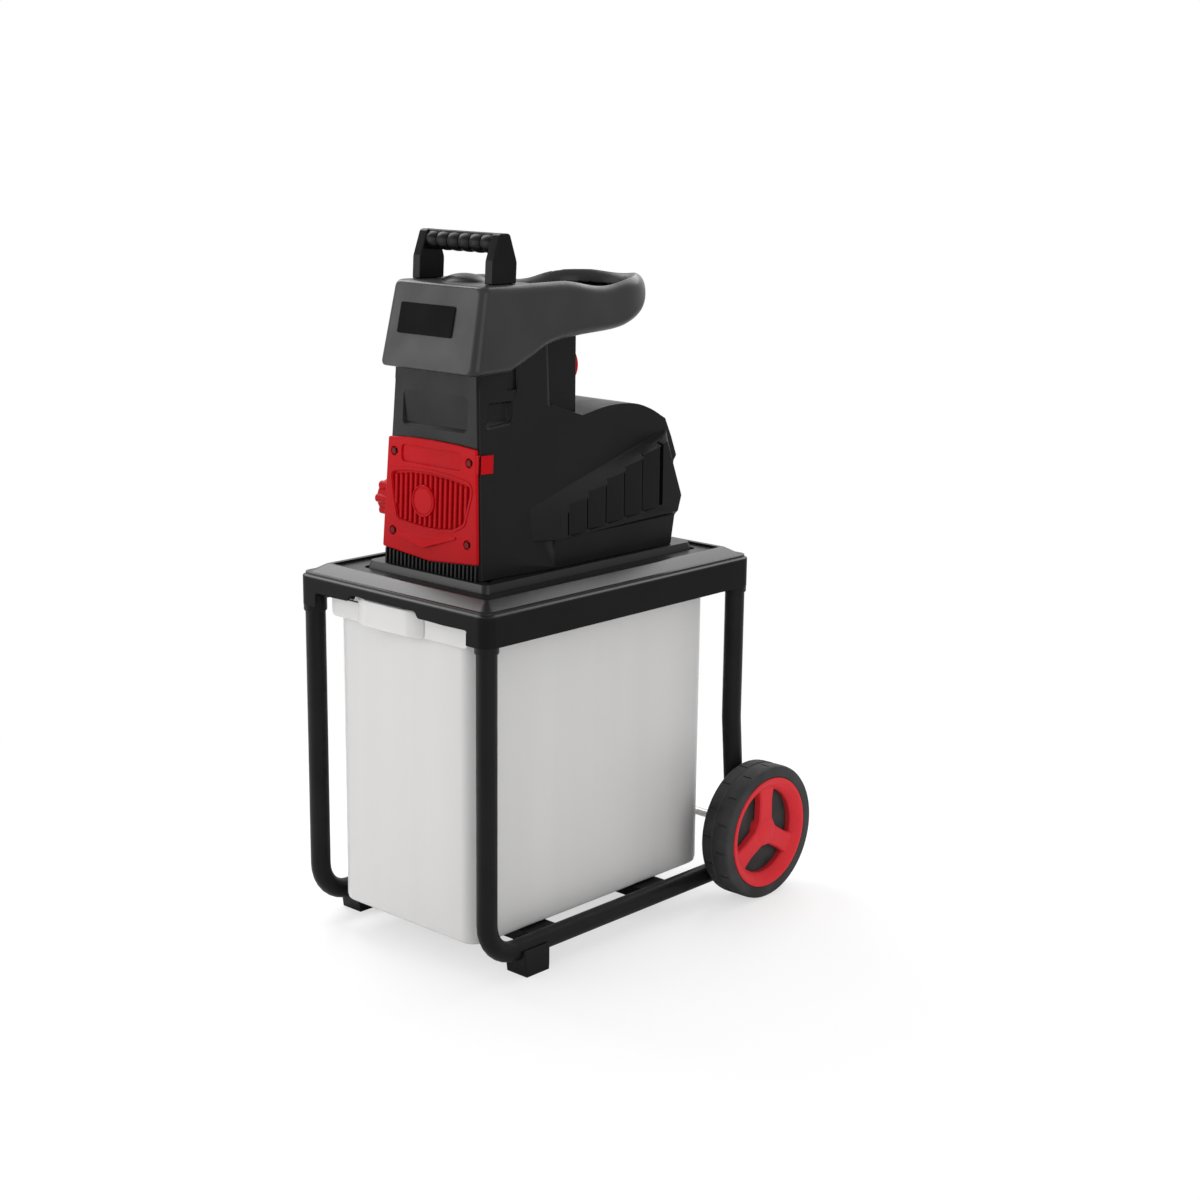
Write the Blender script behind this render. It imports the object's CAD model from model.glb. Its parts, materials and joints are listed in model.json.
# %% [markdown]
# # A garden shredder, dressed over its CAD frame
# The CAD model gives every piece its place: a tube frame on two wheels, a deck, a catch box, and a
# tower with a motor housing and a hopper on top. This lesson builds the pieces that are seen with
# Blender's own tools, in the same frame, and gives each of them a procedural finish.

# %% Load the frame
import json
import math

import bmesh
import bpy
from mathutils import Matrix, Vector


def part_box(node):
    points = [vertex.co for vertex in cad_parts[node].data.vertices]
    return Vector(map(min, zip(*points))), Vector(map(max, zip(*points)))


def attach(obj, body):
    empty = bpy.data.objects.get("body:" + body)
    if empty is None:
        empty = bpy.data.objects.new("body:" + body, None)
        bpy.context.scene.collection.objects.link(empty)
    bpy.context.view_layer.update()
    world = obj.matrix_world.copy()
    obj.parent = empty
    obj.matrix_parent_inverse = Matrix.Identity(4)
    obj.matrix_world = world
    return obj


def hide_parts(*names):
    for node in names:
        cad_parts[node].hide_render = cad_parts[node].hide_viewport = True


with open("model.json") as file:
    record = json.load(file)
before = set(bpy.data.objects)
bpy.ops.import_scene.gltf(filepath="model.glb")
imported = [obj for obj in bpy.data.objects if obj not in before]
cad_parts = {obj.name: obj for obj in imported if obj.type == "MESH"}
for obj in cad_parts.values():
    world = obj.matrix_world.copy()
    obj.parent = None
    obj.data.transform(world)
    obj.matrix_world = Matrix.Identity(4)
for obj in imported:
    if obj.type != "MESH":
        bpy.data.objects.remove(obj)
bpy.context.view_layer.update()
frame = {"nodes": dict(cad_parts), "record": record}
nodes = frame["nodes"]
MM = 0.001

# %% [markdown]
# ## Helpers for modelling in millimetres
# The script measures in millimetres and every piece keeps its place in its mesh. Most pieces are made
# as by hand: a filled circle is pulled into an outline, extruded, and each new ring is pulled into the
# next outline. A lathe would do for round pieces, and spin does that here.

# %% Places in millimetres
def box_mm(node):
    """Lowest and highest corner of a CAD node, in millimetres to a tenth."""
    return [[round(v / MM, 1) for v in corner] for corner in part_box(node)]


def only(piece):
    """Selects one piece and makes it the active one."""
    bpy.ops.object.select_all(action="DESELECT")
    piece.select_set(True)
    bpy.context.view_layer.objects.active = piece


def named(name):
    """The object that was added last, with its own name."""
    piece = bpy.context.object
    piece.name = name
    return piece


def edit(piece):
    """Opens a piece in edit mode with everything selected."""
    only(piece)
    bpy.ops.object.mode_set(mode="EDIT")
    bpy.ops.mesh.select_all(action="SELECT")


def close_edit():
    bpy.ops.object.mode_set(mode="OBJECT")


# %% Outlines
def rectangle(low, high):
    """Corners of a rectangle, anticlockwise."""
    return [(low[0], low[1]), (high[0], low[1]), (high[0], high[1]), (low[0], high[1])]


def rounded(points, radius, steps=6):
    """A closed outline whose corners are arcs. radius is one number, or one for each corner."""
    count = len(points)
    radii = radius if isinstance(radius, (list, tuple)) else [radius] * count
    result = []
    for i, corner in enumerate(points):
        here = Vector(corner)
        back = (Vector(points[i - 1]) - here).normalized()
        ahead = (Vector(points[(i + 1) % count]) - here).normalized()
        half = back.angle(ahead) / 2
        if radii[i] <= 0 or half > math.radians(89.5):
            result.append(tuple(here))
            continue
        middle = (back + ahead).normalized()
        centre = here + middle * radii[i] / math.sin(half)
        start = here + back * radii[i] / math.tan(half) - centre
        sweep = math.pi - 2 * half
        side = 1 if back.cross(ahead) < 0 else -1
        for k in range(steps + 1):
            turn = Matrix.Rotation(side * sweep * k / steps, 2)
            result.append(tuple(centre + turn @ start))
    return result


def level_ring(low, high, z, depth, corner, steps=8):
    """A rounded rectangle at a height, drawn in by depth on every side."""
    edges = rectangle((low[0] + depth, low[1] + depth), (high[0] - depth, high[1] - depth))
    return [(x, y, z) for x, y in rounded(edges, corner, steps)]


def curve_through(points, steps=4):
    """Points on a smooth curve through the given points, both ends included."""
    line = [Vector(p) for p in points]
    line = [2 * line[0] - line[1]] + line + [2 * line[-1] - line[-2]]
    result = []
    for i in range(1, len(line) - 2):
        a, b, c, d = line[i - 1:i + 3]
        for k in range(steps):
            t = k / steps
            result.append(tuple(0.5 * (2 * b + (c - a) * t + (2 * a - 5 * b + 4 * c - d) * t ** 2
                                       + (3 * b - a - 3 * c + d) * t ** 3)))
    return result + [tuple(line[-2])]


def inset(points, depth):
    """A closed anticlockwise outline moved inwards."""
    count = len(points)
    result = []
    for i in range(count):
        here = Vector(points[i])
        before = (here - Vector(points[i - 1])).normalized()
        after = (Vector(points[(i + 1) % count]) - here).normalized()
        normal_a = Vector((-before.y, before.x))
        normal_b = Vector((-after.y, after.x))
        middle = normal_a + normal_b
        result.append(tuple(here + middle * depth / max(1e-6, 1 + normal_a.dot(normal_b))))
    return result


def outset(points, depth):
    return inset(points, -depth)


# %% Solids from rings of points
def move_ring(piece, before, ring):
    """Moves the selected points of a piece from one ring of places to the next."""
    mesh = bmesh.from_edit_mesh(piece.data)
    for vertex in mesh.verts:
        if vertex.select:
            k = min(range(len(before)), key=lambda i: (before[i] - vertex.co).length_squared)
            vertex.co = ring[k]
    bmesh.update_edit_mesh(piece.data)


def loft(name, rings):
    """A closed solid through rings of points in millimetres, made by extruding a filled circle."""
    bpy.ops.mesh.primitive_circle_add(vertices=len(rings[0]), fill_type="NGON")
    piece = named(name)
    before = [v.co.copy() for v in piece.data.vertices]
    bpy.ops.object.mode_set(mode="EDIT")
    for i, ring in enumerate(rings):
        places = [Vector(p) * MM for p in ring]
        if i:
            bpy.ops.mesh.extrude_region_move()
        move_ring(piece, before, places)
        before = places
    bpy.ops.mesh.select_all(action="SELECT")
    bpy.ops.mesh.normals_make_consistent(inside=False)
    close_edit()
    return piece


def in_yz(y, z, x):
    return (x, y, z)


def in_xz(x, z, y):
    return (x, y, z)


def prism(name, outline, low, high, place, edge=0.0):
    """An outline thickened from low to high, with its two faces drawn in by edge."""
    steps = [(outline, low + edge), (outline, high - edge)]
    if edge:
        small = inset(outline, edge)
        steps = [(small, low)] + steps + [(small, high)]
    return loft(name, [[place(u, v, w) for u, v in line] for line, w in steps])


def block(name, low, high, edge=0.0):
    """A box between two corners, with its edges rounded."""
    middle = [(a + b) / 2 * MM for a, b in zip(low, high)]
    bpy.ops.mesh.primitive_cube_add(size=1, location=middle)
    piece = named(name)
    piece.scale = [(b - a) * MM for a, b in zip(low, high)]
    bpy.ops.object.transform_apply()
    if edge:
        soften(piece, edge)
    return piece


AXES = {"X": (1, 0, 0), "Y": (0, 1, 0), "Z": (0, 0, 1)}
ACROSS = {"X": (0, 0, 1), "Y": (0, 0, 1), "Z": (1, 0, 0)}


def turned(name, profile, centre, axis, steps=64):
    """A closed section of (along, radius) points, spun round an axis as on a lathe."""
    bpy.ops.mesh.primitive_circle_add(vertices=len(profile), fill_type="NOTHING")
    piece = named(name)
    before = [v.co.copy() for v in piece.data.vertices]
    along, out, middle = Vector(AXES[axis]), Vector(ACROSS[axis]), Vector(centre)
    bpy.ops.object.mode_set(mode="EDIT")
    move_ring(piece, before, [(middle + along * a + out * r) * MM for a, r in profile])
    bpy.ops.mesh.spin(steps=steps, angle=2 * math.pi, center=middle * MM, axis=along)
    bpy.ops.mesh.select_all(action="SELECT")
    bpy.ops.mesh.remove_doubles(threshold=1e-5)
    bpy.ops.mesh.normals_make_consistent(inside=False)
    close_edit()
    return piece


# %% Modifiers that are applied at once
def apply_modifier(piece, kind, **settings):
    only(piece)
    modifier = piece.modifiers.new(kind.title(), kind)
    for key, value in settings.items():
        setattr(modifier, key, value)
    bpy.ops.object.modifier_apply(modifier=modifier.name)
    return piece


def soften(piece, width, segments=2, degrees=30):
    """Rounds the edges of a piece."""
    return apply_modifier(piece, "BEVEL", width=width * MM, segments=segments, limit_method="ANGLE",
                          angle_limit=math.radians(degrees), use_clamp_overlap=False)


def soften_half(piece, width, degrees):
    """Rounds the edges of a half, apart from those on the middle plane where it meets the other half."""
    edit(piece)
    bpy.ops.mesh.remove_doubles(threshold=0.3 * MM)
    bpy.ops.mesh.dissolve_limited(angle_limit=math.radians(0.3))
    close_edit()
    mesh = bmesh.new()
    mesh.from_mesh(piece.data)
    weights = []
    for edge in mesh.edges:
        seam = all(abs(v.co.x) < 1e-5 for v in edge.verts)
        bent = len(edge.link_faces) == 2 and edge.calc_face_angle() > math.radians(degrees)
        weights.append(1.0 if bent and not seam else 0.0)
    mesh.free()
    layer = piece.data.attributes.new("bevel_weight_edge", "FLOAT", "EDGE")
    layer.data.foreach_set("value", weights)
    return apply_modifier(piece, "BEVEL", width=width * MM, segments=2, limit_method="WEIGHT",
                          use_clamp_overlap=False)


def combine(piece, *others, operation="DIFFERENCE"):
    """Cuts, joins or overlaps a piece with others, which are used up."""
    for other in others:
        apply_modifier(piece, "BOOLEAN", operation=operation, object=other, solver="MANIFOLD")
        bpy.data.objects.remove(other)
    return piece


def join(name, pieces):
    """Makes one piece of several."""
    only(pieces[0])
    for piece in pieces[1:]:
        piece.select_set(True)
    bpy.ops.object.join()
    pieces[0].name = name
    return pieces[0]


def copy_of(piece, name):
    """A copy of a piece with its own mesh."""
    twin = piece.copy()
    twin.data = piece.data.copy()
    twin.name = name
    bpy.context.scene.collection.objects.link(twin)
    return twin


def mirrored(piece, name):
    """A copy on the other side of the middle plane."""
    twin = copy_of(piece, name)
    twin.data.transform(Matrix.Scale(-1, 4, (1, 0, 0)))
    twin.data.flip_normals()
    return twin


print("helpers ready")

# %% [markdown]
# ## Finishes
# Every finish is procedural and reads Object coordinates, so it stays on its piece in every view. A
# moulded part could be one flat colour, but real mouldings have a fine spark-eroded grain, cloudy
# patches in their gloss and a little dust, so each finish mixes noise into colour, gloss and bump.

# %% Node helpers
finishes = {}


def new_finish(name, colour, roughness, **sockets):
    """Adds a material with a plain shader, whose constant values sit on the shader's own sockets."""
    material = finishes[name] = bpy.data.materials.new(name)
    material.use_nodes = True
    tree = material.node_tree
    shader = tree.nodes["Principled BSDF"]
    shader.inputs["Base Color"].default_value = (*colour, 1)
    shader.inputs["Roughness"].default_value = roughness
    for key, value in sockets.items():
        shader.inputs[key.replace("_", " ")].default_value = value
    return tree, shader


def noise(tree, scale, detail=3.0, stretch=(1, 1, 1)):
    """Noise on Object coordinates, stretched along an axis where stretch is small."""
    place = tree.nodes.new("ShaderNodeTexCoord")
    mapping = tree.nodes.new("ShaderNodeMapping")
    texture = tree.nodes.new("ShaderNodeTexNoise")
    mapping.inputs["Scale"].default_value = stretch
    texture.inputs["Scale"].default_value = scale
    texture.inputs["Detail"].default_value = detail
    tree.links.new(place.outputs["Object"], mapping.inputs["Vector"])
    tree.links.new(mapping.outputs["Vector"], texture.inputs["Vector"])
    return texture.outputs[0]


def shaded(tree, shader, pattern, colour, dark, light):
    """Colour that wanders between two shares of itself along a pattern."""
    ramp = tree.nodes.new("ShaderNodeValToRGB")
    for element, position, share in zip(ramp.color_ramp.elements, (0.35, 0.65), (dark, light)):
        element.position = position
        element.color = (*[c * share for c in colour], 1)
    tree.links.new(pattern, ramp.inputs["Fac"])
    tree.links.new(ramp.outputs["Color"], shader.inputs["Base Color"])


def stretched(tree, value, source, target, socket):
    """Carries a value from one range to another and into a socket."""
    spread = tree.nodes.new("ShaderNodeMapRange")
    for key, number in zip(("From Min", "From Max", "To Min", "To Max"), (*source, *target)):
        spread.inputs[key].default_value = number
    tree.links.new(value, spread.inputs["Value"])
    tree.links.new(spread.outputs["Result"], socket)


def glossed(tree, shader, pattern, low, high):
    """Roughness that wanders between two values along a pattern."""
    stretched(tree, pattern, (0.3, 0.7), (low, high), shader.inputs["Roughness"])


def embossed(tree, shader, pattern, depth, strength):
    """Bump of a depth in millimetres along a pattern."""
    bump = tree.nodes.new("ShaderNodeBump")
    bump.inputs["Strength"].default_value = strength
    bump.inputs["Distance"].default_value = depth * MM
    tree.links.new(pattern, bump.inputs["Height"])
    tree.links.new(bump.outputs["Normal"], shader.inputs["Normal"])


def textured(name, colour, roughness, mottle, gloss, grain, stretch=(1, 1, 1), **sockets):
    """A finish with noise in its colour, gloss and bump.

    mottle and gloss hold a noise's scale and detail and the two values it wanders between. grain holds
    the scale, detail, depth and strength of the bump.
    """
    tree, shader = new_finish(name, colour, roughness, **sockets)
    shaded(tree, shader, noise(tree, *mottle[:2], stretch), colour, *mottle[2:])
    glossed(tree, shader, noise(tree, *gloss[:2], stretch), *gloss[2:])
    embossed(tree, shader, noise(tree, *grain[:2], stretch), *grain[2:])


# %% Moulded plastics
SKIRT_TOP = 505


def moulded(name, colour, roughness, grain=0.12, swing=0.14, gleam=0.2):
    """Moulded plastic: cloudy colour, patchy gloss and a fine grain, with a weak gleam."""
    textured(name, colour, roughness, (9, 5, 1 - swing, 1 + swing),
             (24, 4, roughness - 0.06, roughness + 0.06), (1100, 2, grain, 0.35), Specular_IOR_Level=gleam)


def by_height(tree, socket, edge, below, above):
    """A value that changes at a height in millimetres, within 4 mm."""
    place = tree.nodes.new("ShaderNodeTexCoord")
    split = tree.nodes.new("ShaderNodeSeparateXYZ")
    tree.links.new(place.outputs["Object"], split.inputs["Vector"])
    stretched(tree, split.outputs["Z"], ((edge - 2) * MM, (edge + 2) * MM), (below, above), socket)


def polished_table(name, colour):
    """The deck: a mat skirt below and a polished top, from two finishes of one mould."""
    tree, shader = new_finish(name, colour, 0.3)
    shaded(tree, shader, noise(tree, 9, 5), colour, 0.85, 1.15)
    embossed(tree, shader, noise(tree, 1100, 2), 0.05, 0.35)
    by_height(tree, shader.inputs["Roughness"], SKIRT_TOP, 0.46, 0.33)
    by_height(tree, shader.inputs["Specular IOR Level"], SKIRT_TOP, 0.055, 0.24)


def translucent_box(name):
    """Natural polypropylene: milky, with faint upright streaks from the mould's flow."""
    milk = (0.55, 0.544, 0.541)
    tree, shader = new_finish(name, milk, 0.38, Subsurface_Weight=0.25, Subsurface_Scale=0.01,
                              Subsurface_Radius=(1, 1, 1), Specular_IOR_Level=0.3)
    shaded(tree, shader, noise(tree, 16, 4, (1, 1, 0.06)), milk, 0.98, 1.02)
    glossed(tree, shader, noise(tree, 12, 3), 0.33, 0.45)
    embossed(tree, shader, noise(tree, 45, 3, (1, 1, 0.15)), 0.2, 0.15)


# %% Paint and metal
def powder_coat(name, colour):
    """Powder-coated tube: satin, with the slight orange peel of the baked powder."""
    textured(name, colour, 0.4, (14, 4, 0.85, 1.15), (40, 3, 0.34, 0.48), (420, 2, 0.25, 0.4),
             Specular_IOR_Level=0.1)


def bare_metal(name, colour, roughness, stretch=(1, 1, 1), scale=240, depth=0.05):
    """Metal whose grain runs along the axis with the small stretch."""
    textured(name, colour, roughness, (scale, 4, 0.85, 1.08),
             (scale, 4, roughness - 0.06, roughness + 0.1), (scale, 4, depth, 0.4), stretch, Metallic=1.0)


# %% All finishes, most of them named as the record's slots
SIGNAL_RED = (0.385, 0.003, 0.006)
BLACK = (0.005, 0.005, 0.0052)
powder_coat("frame_paint", (0.0065, 0.0065, 0.0068))
moulded("black_plastic", BLACK, 0.36, gleam=0.115)
polished_table("deck_plastic", (0.006, 0.006, 0.0062))
moulded("matt_black", BLACK, 0.6, gleam=0.03)
moulded("gloss_black", (0.004, 0.004, 0.0042), 0.3, 0.04, gleam=0.08)
moulded("charcoal_plastic", (0.0215, 0.0215, 0.022), 0.36, gleam=0.21)
moulded("red_plastic", SIGNAL_RED, 0.38, 0.06, 0.06, gleam=0.045)
moulded("rim_plastic", (0.57, 0.029, 0.037), 0.42, 0.06, 0.05, gleam=0.05)
bare_metal("dark_screw", (0.085, 0.013, 0.015), 0.5, scale=300)
moulded("green_plastic", (0.02, 0.22, 0.04), 0.36, 0.06)
translucent_box("box_plastic")
textured("tyre_rubber", (0.026, 0.026, 0.0265), 0.66, (30, 6, 0.75, 1.5), (60, 4, 0.58, 0.78),
         (800, 3, 0.2, 0.4), Specular_IOR_Level=0.2)
bare_metal("steel", (0.50, 0.50, 0.49), 0.32, (1, 0.05, 1))
bare_metal("cast", (0.42, 0.43, 0.44), 0.52, scale=320, depth=0.12)
bare_metal("copper", (0.62, 0.26, 0.12), 0.35, (0.1, 1, 1))
bare_metal("brass", (0.70, 0.50, 0.18), 0.3, (1, 0.08, 1))
powder_coat("painted_can", (0.05, 0.052, 0.055))
slot_of = {part["node"]: part["material_slot"] for part in frame["record"]["subparts"]}
for name, node in nodes.items():
    node.data.materials.clear()
    node.data.materials.append(finishes["dark_screw" if "screws" in name else slot_of[name]])
print("finishes:", len(finishes), "on", len(nodes), "nodes")


# %% Dressing a piece
def dress(piece, body, finish, *replaced, degrees=32, slot=None):
    """Gives a piece its finish, its record slot and its body, and lets it stand for CAD nodes.

    Uneven and hollow faces are split first, so that they fall into clean triangles.
    """
    edit(piece)
    bpy.ops.mesh.vert_connect_nonplanar(angle_limit=math.radians(1))
    bpy.ops.mesh.vert_connect_concave()
    close_edit()
    bpy.ops.object.shade_smooth_by_angle(angle=math.radians(degrees))
    apply_modifier(piece, "WEIGHTED_NORMAL", keep_sharp=True)
    piece.data.materials.clear()
    piece.data.materials.append(finishes[finish])
    if replaced:
        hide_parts(*replaced)
    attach(piece, body)
    print("piece:", piece.name, len(piece.data.polygons), "faces")
    return piece


# %% [markdown]
# ## Camera and studio
# The camera stands where the photograph was taken from: in front and to the right, a little above the
# hopper, with a short telephoto lens. Its place was solved from corners of the deck, wheel and feet.

# %% Camera
CAMERA_PLACE = (1.9990, -2.0932, 1.1318)
AZIMUTH = math.radians(42.378)
LOOK_DOWN = math.radians(13.301)
ROLL = math.radians(0.672)
LENS = 62.454
bpy.ops.object.camera_add()
camera = named("camera")
camera.matrix_world = (Matrix.Translation(CAMERA_PLACE) @ Matrix.Rotation(AZIMUTH, 4, "Z")
                       @ Matrix.Rotation(math.pi / 2 - LOOK_DOWN, 4, "X") @ Matrix.Rotation(ROLL, 4, "Z"))
camera.data.lens = LENS
camera.data.sensor_width = 36
camera.data.clip_end = 100
bpy.context.scene.camera = camera
print("camera at", CAMERA_PLACE)

# %% [markdown]
# The studio is a white room with one big soft lamp in front on the left, which makes the front of the
# hopper brighter than its side, one above that the deck's front edge mirrors, and weak ones behind and
# on the right. The floor is pale and keeps the shadow near the machine, and farther out it turns into
# the same white as the background.

# %% Floor and lamps
def area_lamp(name, place, target, size, watts):
    """A square soft lamp that looks at a target."""
    bpy.ops.object.light_add(type="AREA", location=place)
    lamp = named(name)
    lamp.data.size = size
    lamp.data.energy = watts
    direction = Vector(target) - Vector(place)
    lamp.rotation_euler = direction.to_track_quat("-Z", "Y").to_euler()


def studio_floor():
    """A wide floor, white to the camera, that shows the shadow near the machine."""
    bpy.ops.mesh.primitive_circle_add(vertices=64, radius=30, fill_type="NGON")
    floor = named("floor")
    tree, shader = new_finish("floor", (0.86, 0.86, 0.86), 0.7)
    place, mapping, fade, ramp, path, share, white, blend = [tree.nodes.new("ShaderNode" + kind) for kind in (
        "TexCoord", "Mapping", "TexGradient", "ValToRGB", "LightPath", "Math", "Emission", "MixShader")]
    mapping.inputs["Scale"].default_value = (0.8, 0.8, 0.8)
    fade.gradient_type = "SPHERICAL"
    share.operation = "MULTIPLY"
    ramp.color_ramp.elements[0].color = (1, 1, 1, 1)
    ramp.color_ramp.elements[1].position = 0.75
    ramp.color_ramp.elements[1].color = (0.6, 0.6, 0.6, 1)
    for start, end in ((place.outputs["Object"], mapping.inputs["Vector"]),
                       (mapping.outputs["Vector"], fade.inputs["Vector"]),
                       (fade.outputs["Color"], ramp.inputs["Fac"]),
                       (ramp.outputs["Color"], share.inputs[0]),
                       (path.outputs["Is Camera Ray"], share.inputs[1]),
                       (share.outputs["Value"], blend.inputs["Fac"]),
                       (shader.outputs["BSDF"], blend.inputs[1]),
                       (white.outputs["Emission"], blend.inputs[2]),
                       (blend.outputs["Shader"], tree.nodes["Material Output"].inputs["Surface"])):
        tree.links.new(start, end)
    floor.data.materials.append(finishes["floor"])


def studio_world():
    """White for the eye and for reflections, dimmer as a source of light."""
    world = bpy.data.worlds.new("studio")
    world.use_nodes = True
    tree = world.node_tree
    background = tree.nodes["Background"]
    path = tree.nodes.new("ShaderNodeLightPath")
    either = tree.nodes.new("ShaderNodeMath")
    either.operation = "MAXIMUM"
    tree.links.new(path.outputs["Is Camera Ray"], either.inputs[0])
    tree.links.new(path.outputs["Is Glossy Ray"], either.inputs[1])
    background.inputs["Color"].default_value = (1, 1, 1, 1)
    stretched(tree, either.outputs["Value"], (0, 1), (0.72, 1), background.inputs["Strength"])
    bpy.context.scene.world = world


studio_floor()
studio_world()
area_lamp("front_softbox", (-1.75, -2.15, 0.95), (0, -0.1, 0.7), 1.7, 31)
area_lamp("top_softbox", (-1.65, 0.1, 2.25), (0, -0.1, 0.5), 1.5, 40)
area_lamp("back_softbox", (-0.3, 1.7, 2.15), (0, 0, 0.6), 1.6, 28)
area_lamp("side_fill", (2.5, -0.9, 1.1), (0, 0, 0.4), 1.6, 18)
bpy.context.scene.view_settings.view_transform = "Standard"
print("studio ready")

# %% [markdown]
# ## Frame tubes
# Each side of the machine stands on one steel tube, bent four times: down the front leg, back along the
# floor and up the slanted rear leg. A curve with a bevel would make it too. Here a circle is extruded
# ring by ring along the bent path, so that the plastic collars under the deck can be joined to it.

# %% A pipe along a bent path
tube_low, tube_high = box_mm("right_frame_tube")
TUBE_R = (tube_high[0] - tube_low[0]) / 2
LEG_X = tube_low[0] + TUBE_R
BAR_Z, LEG_TOP = tube_low[2] + TUBE_R, tube_high[2]
LEG_FRONT, LEG_REAR = tube_low[1] + TUBE_R, 202
BAR_END, KINK_Z, BEND_R = 221.4, 267, 50
FRAME_PATH = [(LEG_FRONT, LEG_TOP), (LEG_FRONT, BAR_Z), (BAR_END, BAR_Z), (LEG_REAR, KINK_Z),
              (LEG_REAR, LEG_TOP)]
COLLAR = [(455, 0.05), (455, 1.4), (456.5, 2.2), (478, 2.2), (478, 0.05)]


def pipe_rings(path, x, radius, sides=28):
    """Circles square to a path in the YZ plane."""
    rings = []
    for i, point in enumerate(path):
        ahead = Vector(path[min(i + 1, len(path) - 1)]) - Vector(path[max(i - 1, 0)])
        ahead.normalize()
        across = Vector((-ahead.y, ahead.x))
        ring = []
        for k in range(sides):
            turn = 2 * math.pi * k / sides
            y, z = Vector(point) + across * radius * math.cos(turn)
            ring.append((x + radius * math.sin(turn), y, z))
        rings.append(ring)
    return rings


tube_line = rounded(FRAME_PATH, [0, BEND_R, BEND_R, BEND_R, 0], 8)
right_tube = loft("right_tube", pipe_rings(tube_line, LEG_X, TUBE_R))
collars = [turned("collar", [(z, TUBE_R + rise) for z, rise in COLLAR], (LEG_X, y, 0), "Z", 40)
           for y in (LEG_FRONT, LEG_REAR)]
right_tube = join("right_tube", [right_tube] + collars)
left_tube = mirrored(right_tube, "left_tube")
dress(right_tube, "chassis", "frame_paint", "right_frame_tube")
dress(left_tube, "chassis", "frame_paint", "left_frame_tube")

# %% [markdown]
# ## Deck
# The deck is a black moulded table: a skirt round the edge, a sloping bevel that catches the light, a
# sunken tray and a raised plinth under the tower. It is hollow below. It grows from one outline, from
# the ceiling down the inner wall, round the rim and up to the plinth, and then the openings are cut.

# %% Deck shell
deck_low, deck_high = box_mm("deck")
DECK_FOOT, PLINTH_TOP = deck_low[2], deck_high[2]
CEILING, DECK_TOP, TRAY, GROOVE = 510, 520, 516, 512.6
PLINTH_LOW, PLINTH_HIGH = (-117, -250), (117, 166)
DECK_WALL, RIM_START, RIM_END = 4, 27, 34
FRONT_OPENING = rounded([(-148, 450), (148, 450), (148, 484), (55, 484), (53, 493), (-79, 493), (-81, 484),
                         (-148, 484)], [0, 0, 3, 6, 7.5, 7.5, 4, 3], 5)


def deck_ring(z, depth):
    return level_ring(deck_low, deck_high, z, depth, max(18 - depth, 5))


def plinth_ring(z, depth):
    return level_ring(PLINTH_LOW, PLINTH_HIGH, z, depth, 10)


deck = loft("deck_shell", [deck_ring(z, depth) for z, depth in (
    (CEILING, DECK_WALL), (DECK_FOOT, DECK_WALL), (DECK_FOOT, 0), (SKIRT_TOP, 0), (DECK_TOP, RIM_START),
    (DECK_TOP, RIM_END), (TRAY, RIM_END + 0.5))] + [plinth_ring(z, depth) for z, depth in (
        (TRAY, -4.6), (GROOVE, -4.2), (GROOVE, -1.2), (TRAY, -0.8), (PLINTH_TOP, 2))])
combine(deck, prism("front_opening", FRONT_OPENING, -330, -300, in_xz),
        block("discharge_opening", (-74, -215, 500), (30, -121, 540)))
soften(deck, 0.7)
dress(deck, "chassis", "deck_plastic", "deck", slot="black_plastic")

# %% [markdown]
# ## Catch box
# The chips fall into a bin of milky polypropylene that slides out to the front. Its walls are 3 mm thick,
# with a flat lip round the top, a deeper fascia in front and a hollow pull. The shell is drawn from the
# inner floor up the inside, over the lip and down the outside, with a rounded foot.

# %% Catch box shell
bin_low, bin_high = box_mm("catch_box")
LIP, PULL_REACH, PULL_RISE = 8, 12, 8
LIP_FRONT = bin_low[1] + PULL_REACH
BOX_LOW, BOX_HIGH = (bin_low[0] + LIP, LIP_FRONT + LIP), (bin_high[0] - LIP, bin_high[1] - LIP)
BOX_FOOT, BOX_TOP = bin_low[2], bin_high[2] - PULL_RISE
FOOT_END = BOX_FOOT + 9.7


def box_ring(z, depth):
    return level_ring(BOX_LOW, BOX_HIGH, z, depth, max(25 - depth, 4))


bin_shell = loft("catch_bin", [box_ring(z, depth) for z, depth in (
    (BOX_FOOT + 3, 8), (BOX_FOOT + 5.2, 4), (FOOT_END, 3), (BOX_TOP - 1, 3), (BOX_TOP, 2),
    (BOX_TOP, 0.6 - LIP), (BOX_TOP - 0.8, -LIP), (BOX_TOP - 3, -LIP), (BOX_TOP - 3, 0), (FOOT_END, 0),
    (BOX_FOOT + 3.7, 1.6), (BOX_FOOT + 0.9, 5), (BOX_FOOT, 9))])
print("catch bin", len(bin_shell.data.polygons), "faces")

# %% Fascia and pull of the catch box
PULL_LOW, PULL_HIGH = -75, 49
FASCIA_HALF, FASCIA_LOW, PULL_TOP = 133, BOX_TOP - 29, BOX_TOP + PULL_RISE
FASCIA_EDGE = rounded([(-FASCIA_HALF, FASCIA_LOW), (FASCIA_HALF, FASCIA_LOW), (FASCIA_HALF, BOX_TOP),
                       (PULL_HIGH + 12, BOX_TOP), (PULL_HIGH + 8, PULL_TOP), (PULL_LOW - 8, PULL_TOP),
                       (PULL_LOW - 12, BOX_TOP), (-FASCIA_HALF, BOX_TOP)], [7, 7, 1, 4, 4, 4, 4, 1], 5)


def pull_ring(y, side, low, high):
    """The pull's outline at one depth, drawn in at its sides, foot and top."""
    corner_low = (PULL_LOW - 3 + side, FASCIA_LOW - 1 + low)
    corner_high = (PULL_HIGH + 3 - side, PULL_TOP - high)
    return [(x, y, z) for x, z in rounded(rectangle(corner_low, corner_high), [6, 6, 8, 8], 5)]


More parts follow.
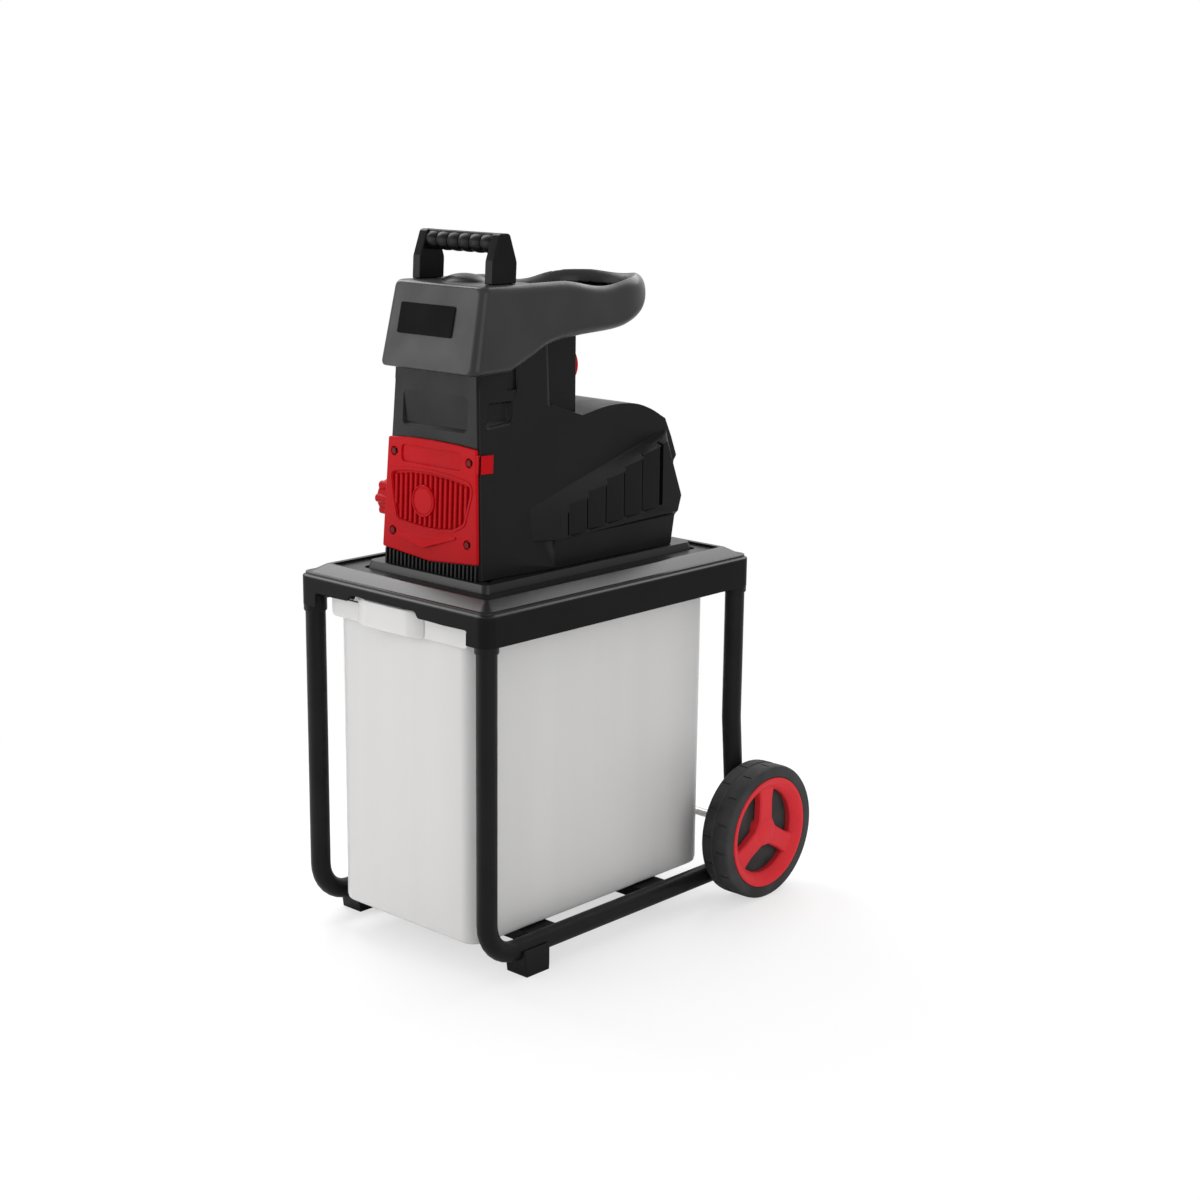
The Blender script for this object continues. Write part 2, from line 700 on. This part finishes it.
fascia = prism("fascia", FASCIA_EDGE, LIP_FRONT, LIP_FRONT + 3, in_xz)
pull = loft("pull", [pull_ring(LIP_FRONT - out, side, low, high) for out, side, low, high in (
    (-2, 0, 0, 0), (1, 0, 0, 0), (5, 6, 0.2, 0.2), (8.5, 13, 0.5, 0.5), (11, 21, 1.2, 1.2),
    (PULL_REACH, 27, 2.8, 3))])
combine(pull, block("finger_room", (PULL_LOW + 24, LIP_FRONT - 9, 440),
                    (PULL_HIGH - 24, LIP_FRONT + 9, BOX_TOP + 3)))
soften(fascia, 0.7)
soften(pull, 0.9)
bin_shell = join("catch_bin", [bin_shell, fascia, pull])
dress(bin_shell, "catch_box", "box_plastic", "catch_box")

# %% [markdown]
# ## Housing
# The tower round the cutting drum and the motor housing behind it are one moulding in two halves. The
# walls lean in a little so that the halves leave their mould. The right half is built from four simple
# forms that are joined, hollowed by the same forms made smaller, cut, rounded and then mirrored.

# %% Sloping walls
BASE, TOWER_TOP = PLINTH_TOP + 0.3, 850
FOOT_HALF, FOOT_FRONT, TOWER_BACK = 95, -238, -90
SIDE_LEAN, FRONT_LEAN = math.radians(3.2), math.radians(2.3)


def side_x(z):
    """Half width of the tower at a height."""
    return FOOT_HALF - (z - PLINTH_TOP) * math.tan(SIDE_LEAN)


def front_y(z):
    """The tower's front at a height."""
    return FOOT_FRONT + (z - PLINTH_TOP) * math.tan(FRONT_LEAN)


def tower_form(name, depth):
    """The tower, with walls moved in by depth."""
    return loft(name, [level_ring((-side_x(z), front_y(z)), (side_x(z), TOWER_BACK), z, depth,
                                  [5, 5, 12, 12], 5) for z in (BASE - (5 if depth else 0), TOWER_TOP)])


# %% Motor housing, louvred bulge and flared foot
MOTOR_TOP = curve_through([(-33, 725), (20, 733), (70, 731.5), (106, 721), (138, 704)])
MOTOR_SIDE = [(140, BASE), (148, 607), (154, 642), (160, 649), (150, 677)] + MOTOR_TOP[::-1] + [
    (-90, 744), (-112, 744), (-112, BASE)]


def motor_form(name, depth):
    """The motor housing. A hollow reaches below its floor, so that it is open there."""
    outline = MOTOR_SIDE
    if depth:
        outline = [(y, z - 8 if z < BASE + 6 else z) for y, z in inset(MOTOR_SIDE, depth)]
    return loft(name, [[(s * (side_x(z) - depth), y, z) for y, z in outline] for s in (-1, 1)])


FORM_START, BULGE_X, FLARE_X = 50, 112, 106
BULGE_ROOT = [(-156, 566), (137, 546), (149, 645), (141, 689), (-156, 615)]
BULGE_FACE = [(-106, 566), (138, 574), (145, 595), (112, 677), (-106, 597)]
FLARE_ROOT = [(-228, BASE), (136, BASE), (143, 596), (-100, 590), (-137, 570), (-222, 549)]
FLARE_FACE = [(-112, BASE), (130, BASE), (141, 586), (-109, 571), (-110, 531), (-111, 529)]


def divided(outline, parts=6):
    """An outline with each edge divided into equal parts."""
    pairs = zip(outline, outline[1:] + outline[:1])
    return [tuple(Vector(p).lerp(Vector(q), k / parts)) for p, q in pairs for k in range(parts)]


def grown(name, root, face, root_x, face_x):
    """A form that grows from a root to a face in small steps, so that its twisted walls stay smooth."""
    root, face = divided(root), divided(face)
    rings = [[(FORM_START, y, z) for y, z in root]]
    for k in range(5):
        x = root_x + (face_x - root_x) * k / 4
        rings.append([(x, *Vector(p).lerp(Vector(q), k / 4)) for p, q in zip(root, face)])
    return loft(name, rings)


def bulge_form(name, depth):
    """The louvred bulge on the side of the motor housing."""
    face_x = BULGE_X - (11 if depth else 0)
    return grown(name, inset(BULGE_ROOT, depth), inset(BULGE_FACE, depth / 2), 83.5, face_x)


def flare_form(name, depth):
    """The flank below the bulge, which leans out to the deck and reaches forward as a low foot."""
    return grown(name, inset(FLARE_ROOT, depth), inset(FLARE_FACE, depth / 3), 92, FLARE_X - depth)


def housing_form(name, depth):
    """Tower, motor housing, bulge and flare as one solid."""
    solid = tower_form(name, depth)
    others = [motor_form("motor_form", depth), bulge_form("bulge_form", depth),
              flare_form("flare_form", depth)]
    return combine(solid, *others, operation="UNION")


# %% Shell of one half
shell = housing_form("right_housing_shell", 0)
combine(shell, housing_form("housing_hollow", 3))
print("housing shell:", len(shell.data.polygons), "faces")

# %% [markdown]
# The hopper sits over the tower's top, so the tower is cut by the hopper's own side outline. The front
# has a shallow field, the side a finger scoop, and the bulge a row of louvres with pointed tops.

# %% Hopper side outline, also used to cut the tower
NOSE_Y, HOOD_TOP = box_mm("hopper")[1][1:]
SCOOP_FLOOR = curve_through([(-178, 794), (-140, 809), (-103, 825), (-51, 833), (25, 837.5), (66, 846),
                             (108, 858.5), (134, 873)])
HOOD_NOSE = curve_through([(134, 873), (141.5, 888), (132, 902), (102, HOOD_TOP)])
HOOD_SIDE = [(-245.2, 806), (-236, 794)] + SCOOP_FLOOR + HOOD_NOSE[1:] + [(-198, HOOD_TOP), (-222.6, 904)]

# %% Cuts in the housing
LOUVRES, LOUVRE_START, LOUVRE_RUN, LOUVRE_RISE = 5, -87, 187, 17
FIELD_Z = 734


def on_front(z0):
    """Places on the tower's leaning front: across, up the face from z0, and outwards."""
    up = Vector((0, math.sin(FRONT_LEAN), math.cos(FRONT_LEAN)))
    out = Vector((0, -math.cos(FRONT_LEAN), math.sin(FRONT_LEAN)))
    start = Vector((0, front_y(z0), z0))
    return lambda u, v, w: tuple(start + Vector((u, 0, 0)) + up * v + out * w)


def bulge_edge(y):
    """Height of the slanted edge above the louvres."""
    (rear, high), (front, low) = BULGE_FACE[3:5]
    return low + (y - front) / (rear - front) * (high - low)


def louvre_foot(k, z):
    """Place along the row and height of the foot of a louvre."""
    return LOUVRE_START + LOUVRE_RUN * k / LOUVRES, z + LOUVRE_RISE * k / LOUVRES


def louvre_slot(k):
    """One upright slot whose top rises to the back, from inside the bulge outwards."""
    y, low = louvre_foot(k, 570)
    outline = [(y - 3.5, low), (y + 3.5, low), (y + 3.5, bulge_edge(y) + 4), (y - 3.5, bulge_edge(y) - 4)]
    return prism("slot", outline, 100, 125, in_yz)


def louvre_tilt(k):
    """A wedge that tilts the blade behind a slot, so that its front edge lies deeper."""
    low, foot = louvre_foot(k, 568)
    low, high = low + 3, louvre_foot(k + 1, 568)[0] - 3
    front = [(low, foot), (high, foot + 3), (high, bulge_edge(high) + 10), (low, bulge_edge(low) + 10)]
    blade = [(BULGE_X + 0.5 - (5.5 if y == low else 0), y, z) for y, z in front]
    return loft("blade_cut", [blade, [(130, y, z) for y, z in front]])


def on_side(y, z, out):
    """Places on the tower's leaning side."""
    return (side_x(z) + out, y, z)


def sunken(name, place, floor, rim, depth):
    """A cut whose floor lies at depth(v) and whose walls slope out to a larger rim at the surface."""
    return loft(name, [[place(u, v, -depth(v)) for u, v in floor], [place(u, v, 0.05) for u, v in rim],
                       [place(u, v, 12) for u, v in rim]])


field = sunken("field", on_front(FIELD_Z), rounded(rectangle((-60.5, -12), (60.5, 31)), 6),
               rounded(rectangle((-62, -17), (62, 32)), 7), lambda v: 0.02 + 4.5 * (31 - v) / 43)
scoop = sunken("scoop", on_side, rounded([(-212, 731), (-174, 734), (-171, 754), (-209, 754)], [5, 4, 4, 4]),
               rounded([(-221, 722), (-167, 726), (-164, 757), (-214, 757)], [9, 7, 6, 6]), lambda z: 8)
notch = block("notch", (side_x(790) - 2.6, -177, 771), (140, -159, 820))
hood_room = prism("hood_room", outset(HOOD_SIDE, 0.3), -130, 130, in_yz)
combine(shell, block("scoop_backing", (66, -226, 718), (80, -150, 808)),
        prism("field_backing", rectangle((-66, -28), (66, 36)), -9, -2, on_front(FIELD_Z)), operation="UNION")
combine(shell, hood_room, field, scoop, notch, *[louvre_tilt(k) for k in range(LOUVRES)])
combine(shell, *[louvre_slot(k) for k in range(LOUVRES + 1)])
combine(shell, block("other_half", (-200, -400, 400), (0, 300, 1000)))
soften_half(shell, 0.8, 25)
print("right half:", len(shell.data.polygons), "faces")

# %% Comb at the tower's foot
COVER_MID, COVER_LOW_HALF = 622.5, 92.8
COMB_RIBS, COMB_HALF = 24, side_x(PLINTH_TOP) - 8


def comb_rib(x):
    """A thin upright rib on the front of the tower's foot, below the cover's pointed edge."""
    height = 22 - 8 * (1 - abs(x) / COVER_LOW_HALF) - 1.2
    return prism("rib", rectangle((x - 1.5, 0.2), (x + 1.5, height)), -1, 3, on_front(PLINTH_TOP))


ribs = [comb_rib(-COMB_HALF + k * 2 * COMB_HALF / (COMB_RIBS - 1)) for k in range(COMB_RIBS)]
left_shell = mirrored(shell, "left_housing_shell")
shell = join("right_housing_shell", [shell] + ribs[COMB_RIBS // 2:])
left_shell = join("left_housing_shell", [left_shell] + ribs[:COMB_RIBS // 2])
dress(shell, "chassis", "black_plastic", "right_housing")
dress(left_shell, "chassis", "black_plastic", "left_housing")

# %% [markdown]
# ## Front cover
# The red cover closes the tower in front of the drum. It has an arched top, a pointed lower edge, tabs
# that reach round the corners, a sunken band, a ribbed grille with a round boss and a chevron. It lies
# on the leaning front, so its pieces are drawn flat and placed by one function: across, up and out.

# %% Cover plate
place = on_front(COVER_MID)
COVER_THICK, CUT_OUT = 5, 12
COVER_EDGE = rounded([(-92.4, -74.5), (0, -82.3), (92.4, -74.5), (84.6, 76.5), (44, 79.4), (0, 80.4),
                      (-44, 79.4), (-84.6, 76.5)], [3, 40, 3, 3, 60, 60, 60, 3], 5)
GRILLE_EDGE = rounded([(-70, -3), (-62, -32), (-40, -35), (-8, -37), (18, -36.5), (45, -33), (64, -23),
                       (75.5, 17), (75, 28.5), (39, 33.8), (0, 36.2), (-38, 35.5), (-76, 30)],
                      [40, 8, 40, 40, 40, 14, 12, 12, 8, 40, 40, 40, 8], 4)
SCREW_PLACES, SCREW_HOLE_R = [(-72, 58), (72, 58), (-72, -50), (72, -50)], 6.5
plate = prism("cover_plate", COVER_EDGE, 0.3, COVER_THICK, place, 1.2)
band = prism("band", rounded(rectangle((-58, 46), (58, 69)), 6), COVER_THICK - 2.4, CUT_OUT, place)
grille_field = prism("grille_field", GRILLE_EDGE, COVER_THICK - 3.2, CUT_OUT, place)
holes = []
for u, v in SCREW_PLACES:
    turns = [t * math.pi / 12 for t in range(24)]
    ring = [(u + SCREW_HOLE_R * math.cos(t), v + SCREW_HOLE_R * math.sin(t)) for t in turns]
    holes.append(prism("hole", ring, COVER_THICK - 3.4, CUT_OUT, place))
combine(plate, band, grille_field, *holes)
soften(plate, 0.8)
print("cover plate:", len(plate.data.polygons), "faces")

# %% Grille ribs, frame line, boss and chevron
def field_height(u):
    """Lowest and highest point of the grille's field at a place across it."""
    heights = []
    for i, here in enumerate(GRILLE_EDGE):
        there = GRILLE_EDGE[i - 1]
        if (here[0] - u) * (there[0] - u) < 0:
            t = (u - here[0]) / (there[0] - here[0])
            heights.append(here[1] + t * (there[1] - here[1]))
    return min(heights), max(heights)


GRILLE_RIBS, GRILLE_HALF = 15, 67
BOSS = [(-4, 0.01), (1.6, 0.01), (1.6, 17), (1.0, 17.6), (1.0, 18.6), (2.4, 19.4), (2.6, 20.8), (1.8, 21.5),
        (-4, 21.5)]
CHEVRON = [(-62, -49, 0.3), (-62, -55.5, 2.0), (-8, -64.5, 5.5), (51, -45.5, 2.0), (50, -41.5, 0.3),
           (-8, -55, 0.3)]


def grille_rib(u):
    low, high = field_height(u)
    return prism("grille_rib", rounded(rectangle((u - 2.3, low + 0.5), (u + 2.3, high - 3)), 2.2, 3),
                 COVER_THICK - 3.4, COVER_THICK + 0.3, place, 0.9)


grille_ribs = [grille_rib(-GRILLE_HALF + 2 * GRILLE_HALF * k / (GRILLE_RIBS - 1)) for k in range(GRILLE_RIBS)]
line_middle, line_half = outset(GRILLE_EDGE, 3), 1.6
grille_line = prism("frame_line", outset(line_middle, line_half), COVER_THICK - 1, COVER_THICK + 1.1, place)
combine(grille_line, prism("inside", inset(line_middle, line_half), -1, COVER_THICK + 6.1, place))
soften(grille_line, 0.5)
boss = turned("boss", [(-COVER_THICK - rise, r) for rise, r in BOSS], (0, 0, 0), "Y", 48)
lean = Matrix.Rotation(-FRONT_LEAN, 4, "X")
boss.data.transform(Matrix.Translation(Vector(place(-12, -2.5, 0)) * MM) @ lean)
chevron = loft("chevron", [[place(u, v, COVER_THICK - 2) for u, v, rise in CHEVRON],
                           [place(u, v, COVER_THICK + rise) for u, v, rise in CHEVRON]])
inner = side_x(670) + 0.4
outer = inner + 3
tabs = [prism("tab", [(78, 45), (outer, 45), (outer, 69), (78, 71)], 0.5, COVER_THICK - 0.5, place, 0.6),
        prism("tab_side", rectangle((inner, 45), (outer, 69)), -22, COVER_THICK - 0.5, place, 0.6)]
cover = join("red_cover", [plate, boss, chevron, grille_line] + grille_ribs + tabs)
dress(cover, "chassis", "red_plastic", "front_cover")

# %% [markdown]
# ## Hopper
# The charcoal hopper is a scoop: a leaning front, a level top and an underside that rises to a round
# nose, where branches are pushed in. It could be cut from a block, but then its rims would be sharp.
# Here a rounded cross-section is extruded from the front to the nose, and changes its size on the way.

# %% Stations along the hopper
HOOD_HALF, HOOD_TAPER, NOSE_MIDDLE = 93, 6, 49
FRONT_FOOT, FRONT_HEAD, FRONT_CORNER = (-246.5, 798), (-222.6, 904), 12
DIP_MIDDLE, DIP_HALF, DIP, NOSE_FALL = 10, 84, 11, 16
DIP_END = DIP_MIDDLE + DIP_HALF


def rim_height(y):
    """Height of the hopper's top: level, dipped where branches go in, and falling off at the nose."""
    if abs(y - DIP_MIDDLE) < DIP_HALF:
        return HOOD_TOP - DIP / 2 * (1 + math.cos(math.pi * (y - DIP_MIDDLE) / DIP_HALF))
    return HOOD_TOP - NOSE_FALL * (max(y - DIP_END, 0) / (NOSE_Y - DIP_END)) ** 4


def hood_stations():
    """(lower y, lower z, upper y, upper z, half width) from the front face to the nose."""
    stations = []
    for turn in (0, 22.5, 45, 67.5, 90):
        out, back = math.sin(math.radians(turn)), FRONT_CORNER * (1 - math.cos(math.radians(turn)))
        stations.append((FRONT_FOOT[0] + back, FRONT_FOOT[1] - 4 * out, FRONT_HEAD[0] + back,
                         FRONT_HEAD[1] + 4 * out, HOOD_HALF - FRONT_CORNER * (1 - out)))
    for y, z in SCOOP_FLOOR + HOOD_NOSE[1:9]:
        half = math.sqrt(max(HOOD_HALF ** 2 - max(y - NOSE_MIDDLE, 0) ** 2, 150))
        if y < NOSE_Y - 1:
            stations.append((y, z, y, rim_height(y), half))
    return stations


def hood_ring(low_y, low_z, high_y, high_z, half, depth):
    """A rounded rectangle across the hopper, made smaller by depth all round."""
    height = math.hypot(high_y - low_y, high_z - low_z)
    tall, wide = height - 2 * depth, half - depth
    full = 8 + min((low_y + 246) / 20, 5) + max(low_y - NOSE_MIDDLE, 0) / 6.3
    corner = max(min(full - depth / 2, 0.45 * tall, 0.8 * wide), 1)
    ring = []
    for x, h in rounded(rectangle((-wide, 0), (wide, tall)), corner, 5):
        t = (h + depth) / height
        y, z = low_y + t * (high_y - low_y), low_z + t * (high_z - low_z)
        ring.append((x * (1 - HOOD_TAPER / HOOD_HALF * t), y, z))
    return ring


def hood_form(name, depth):
    """The hopper's form, or the smaller form of its hollow."""
    rings = []
    for low_y, low_z, high_y, high_z, half in hood_stations():
        high_z -= 3.5 * depth * (low_y > -118)
        inward = depth * (low_y < -200)
        if half - depth > 14 and high_z - low_z > 2 * depth + 12:
            rings.append(hood_ring(low_y + inward, low_z, high_y + inward, high_z, half, depth))
    return loft(name, rings)


hood = hood_form("hopper_shell", 0)
combine(hood, hood_form("hopper_hollow", 4))
print("hopper:", len(hood.data.polygons), "faces")

# %% Mouth and throat
MOUTH_FRONT = -54
LIP_SECTION = [(-38, 69.2), (-18, 69.4), (-11, 70.2), (-6, 72), (-2.6, 74.6), (-0.8, 77.2), (0.3, 80),
               (30, 80)]


def mouth_ring(level, half):
    """The mouth's outline, at a height above or below the hopper's rim."""
    front = MOUTH_FRONT - half
    side = [front + (NOSE_MIDDLE - front) * k / 16 for k in range(16)]
    turns = [t * math.pi / 32 for t in range(33)]
    nose = [(half * math.cos(t), NOSE_MIDDLE + half * math.sin(t)) for t in turns]
    outline = [(half, y) for y in side] + nose + [(-half, y) for y in side[::-1]]
    return [(x, y, level + rim_height(y)) for x, y in outline]


combine(hood, loft("mouth", [mouth_ring(level, half) for level, half in LIP_SECTION]),
        block("throat", (-66, -214, 700), (28, -118, 845)))
soften(hood, 1.6, 3, 50)
dress(hood, "chassis", "charcoal_plastic", "hopper")

# %% Blank plate and finger rest between the handle's legs
def rounded_copy(node, name, width):
    """A copy of a CAD node's mesh, merged, with flat faces made whole again and edges rounded."""
    piece = copy_of(nodes[node], name)
    piece.parent = None
    piece.matrix_world = Matrix.Identity(4)
    edit(piece)
    bpy.ops.mesh.remove_doubles(threshold=1e-6)
    bpy.ops.mesh.dissolve_limited(angle_limit=math.radians(0.5))
    close_edit()
    if width:
        soften(piece, width)
    return piece


def flat_dome(name, centre, half_sizes):
    """A low round swelling: a sphere pressed flat and cut off just below the hopper's top."""
    bpy.ops.mesh.primitive_uv_sphere_add(segments=40, ring_count=20, radius=1)
    dome = named(name)
    bpy.ops.transform.resize(value=[v * MM for v in half_sizes])
    bpy.ops.transform.translate(value=Vector(centre) * MM)
    bpy.ops.object.transform_apply()
    edit(dome)
    bpy.ops.mesh.bisect(plane_co=(0, 0, (HOOD_TOP - 1.4) * MM), plane_no=(0, 0, 1), clear_inner=True,
                        use_fill=True)
    close_edit()
    return dome


dome = flat_dome("finger_rest", (-3, -170, 901), (39, 30, 17))
dress(dome, "chassis", "charcoal_plastic")
badge_plate = rounded_copy("blank_plate", "bare_plate", 0.3)
dress(badge_plate, "chassis", "matt_black", "blank_plate", slot="gloss_black")

# %% [markdown]
# ## Carry handle
# Two legs stand on the hopper and carry a grip with six finger swellings under a flat strap. The legs are
# outlines with rounded edges. The grip is turned like a chair leg: one section spun round its axis.

# %% Handle
HANDLE_Y, HANDLE_FOOT, GRIP_Z = -174.5, HOOD_TOP + 0.3, 959.3
LEG_IN, LEG_OUT = 61, 76
GRIP_HALF, CORE_R, BARREL_R = 66, 11.4, 13.3
BARRELS, BARREL_RUN = 6, 124
LEG_SIDE = rounded([(-198, HANDLE_FOOT), (-154, HANDLE_FOOT), (-152.5, 936), (-165.5, 973), (-183.5, 973),
                    (-196.5, 938)], [0, 0, 16, 6, 6, 16], 5)


def grip_section():
    """(along, radius) points of the grip: a core with six barrels."""
    section = [(-GRIP_HALF, 0.01), (-GRIP_HALF, CORE_R)]
    pitch = BARREL_RUN / BARRELS
    for k in range(BARRELS):
        start = k * pitch - BARREL_RUN / 2
        section += [(start + 0.9, CORE_R)]
        section += [(start + 1.2 + (pitch - 2.4) * t / 8, BARREL_R - 1.1 * (t / 4 - 1) ** 2)
                    for t in range(9)]
        section += [(start + pitch - 0.9, CORE_R)]
    return section + [(GRIP_HALF, CORE_R), (GRIP_HALF, 0.01)]


legs = ((-LEG_OUT, -LEG_IN), (LEG_IN, LEG_OUT))
handle = [soften(prism("leg", LEG_SIDE, low, high, in_yz), 1.5, 3) for low, high in legs]
handle.append(turned("grip", grip_section(), (0, HANDLE_Y, GRIP_Z), "X", 40))
handle.append(block("strap", (-70, HANDLE_Y - 7, GRIP_Z), (70, HANDLE_Y + 7, GRIP_Z + 13.6), 3))
handle = join("handle", handle)
dress(handle, "chassis", "gloss_black", "carry_handle", degrees=40)

# %% [markdown]
# ## Wheels
# A wheel is a black tyre with a closed black core and a red rim with three broad spokes in front. They
# are turned, the spokes are extruded from one outline, and the tread is cut with shallow grooves. One
# wheel is modelled and mirrored.

# %% Rim
tyre_low, tyre_high = box_mm("right_tyre")
WHEEL_IN, WHEEL_OUT = tyre_low[0], tyre_high[0]
TYRE_R = (tyre_high[2] - tyre_low[2]) / 2
AXLE = (tyre_low[1] + TYRE_R, tyre_low[2] + TYRE_R)
RIM_R, HUB_R, SPOKE_BACK, SPOKE_FRONT = 82, 22, 214, 228
RIM_FACE = [(-11.5, 63), (-8.5, 64.5), (-3.5, 70), (-0.6, 75), (0.4, 78), (0.4, 81), (-0.2, RIM_R)]
SPOKE_SIDE = [(18, -14.5), (46, -13.5), (74, -18), (74, 18), (46, 13.5), (18, 14.5)]
SHOULDER = [(1.5, RIM_R + 0.2), (0, 84), (0, 95), (1, 98), (3, 99.4), (7, TYRE_R), (19, TYRE_R), (20, 98.6)]
GROOVES = 30


def round_wheel(name, profile):
    """A section spun round the right wheel's axle."""
    return turned(name, profile, (0, *AXLE), "X", 96)


rim_ring = round_wheel("rim_ring", [(SPOKE_BACK, RIM_R), (SPOKE_BACK, 64)]
                       + [(WHEEL_OUT + out, r) for out, r in RIM_FACE])
spoke_turns = [Matrix.Rotation(math.radians(90 + 120 * k), 2) for k in range(3)]
star = rounded([Vector(AXLE) + turn @ Vector(p) for turn in spoke_turns for p in SPOKE_SIDE], 5, 3)
spokes = prism("spokes", star, SPOKE_BACK, SPOKE_FRONT, in_yz, 2.2)
hub = round_wheel("hub", [(192, 11), (192, HUB_R), (224, HUB_R), (SPOKE_FRONT, 20), (229.6, 15),
                          (229.6, 0.01), (224, 0.01), (224, 11)])
combine(spokes, round_wheel("axle_hole", [(190, 0.01), (190, 10.9), (222, 10.9), (222, 0.01)]))
right_rim = join("right_wheel_rim", [rim_ring, spokes, hub])

# %% Tyre with grooves
right_tyre = round_wheel("right_wheel_tyre", [(WHEEL_IN + deep, r) for deep, r in SHOULDER]
                         + [(WHEEL_OUT - deep, r) for deep, r in SHOULDER[::-1]])


def tread_groove(k):
    """A shallow groove across the tread's shoulder, alternating between the two sides."""
    turn = 2 * math.pi * k / GROOVES
    low, high = (WHEEL_IN + 5, WHEEL_IN + 19) if k % 2 else (WHEEL_OUT - 19, WHEEL_OUT - 5)
    groove = block("groove", (low, -1.2, TYRE_R - 1.6), (high, 1.2, TYRE_R + 4))
    groove.data.transform(Matrix.Translation(Vector((0, *AXLE)) * MM) @ Matrix.Rotation(turn, 4, "X"))
    return groove


combine(right_tyre, join("grooves", [tread_groove(k) for k in range(GROOVES)]))
core_face, core_hole = SPOKE_BACK - 0.3, HUB_R + 0.4
core = round_wheel("core", [(188, RIM_R), (188, 77), (207, 75), (207, core_hole), (core_face, core_hole),
                            (core_face, RIM_R)])
right_tyre = join("right_wheel_tyre", [right_tyre, core])
left_rim, left_tyre = mirrored(right_rim, "left_wheel_rim"), mirrored(right_tyre, "left_wheel_tyre")
dress(right_rim, "right_wheel", "rim_plastic", "right_rim", slot="red_plastic")
dress(left_rim, "left_wheel", "rim_plastic", "left_rim", slot="red_plastic")
dress(right_tyre, "right_wheel", "tyre_rubber", "right_tyre")
dress(left_tyre, "left_wheel", "tyre_rubber", "left_tyre")

# %% [markdown]
# ## Small pieces
# The feet, cross-members, control box, knobs and buttons have the right shape in the CAD model, but its
# edges are sharp. A copy of each mesh is merged into whole faces and its edges are rounded by a bevel.
# The selector knob keeps its sharp edges, because its grip nearly reaches its rim and bevels would meet.

# %% Rounded copies
SMALL_PIECES = [
    ("left_foot", "chassis", 1.2), ("right_foot", "chassis", 1.2), ("front_cross_member", "chassis", 0.8),
    ("rear_cross_member", "chassis", 0.8), ("control_box", "chassis", 1.2), ("selector_knob", "selector", 0),
    ("start_button", "start_button", 0.8), ("stop_button", "stop_button", 0.8),
    ("reset_button", "reset_button", 0.6), ("adjusting_knob", "adjuster", 0.25),
    ("power_inlet", "chassis", 0.6), ("feed_chute", "chassis", 0.6)]
for node, body, width in SMALL_PIECES:
    dress(rounded_copy(node, node + "_rounded", width), body, slot_of[node], node)
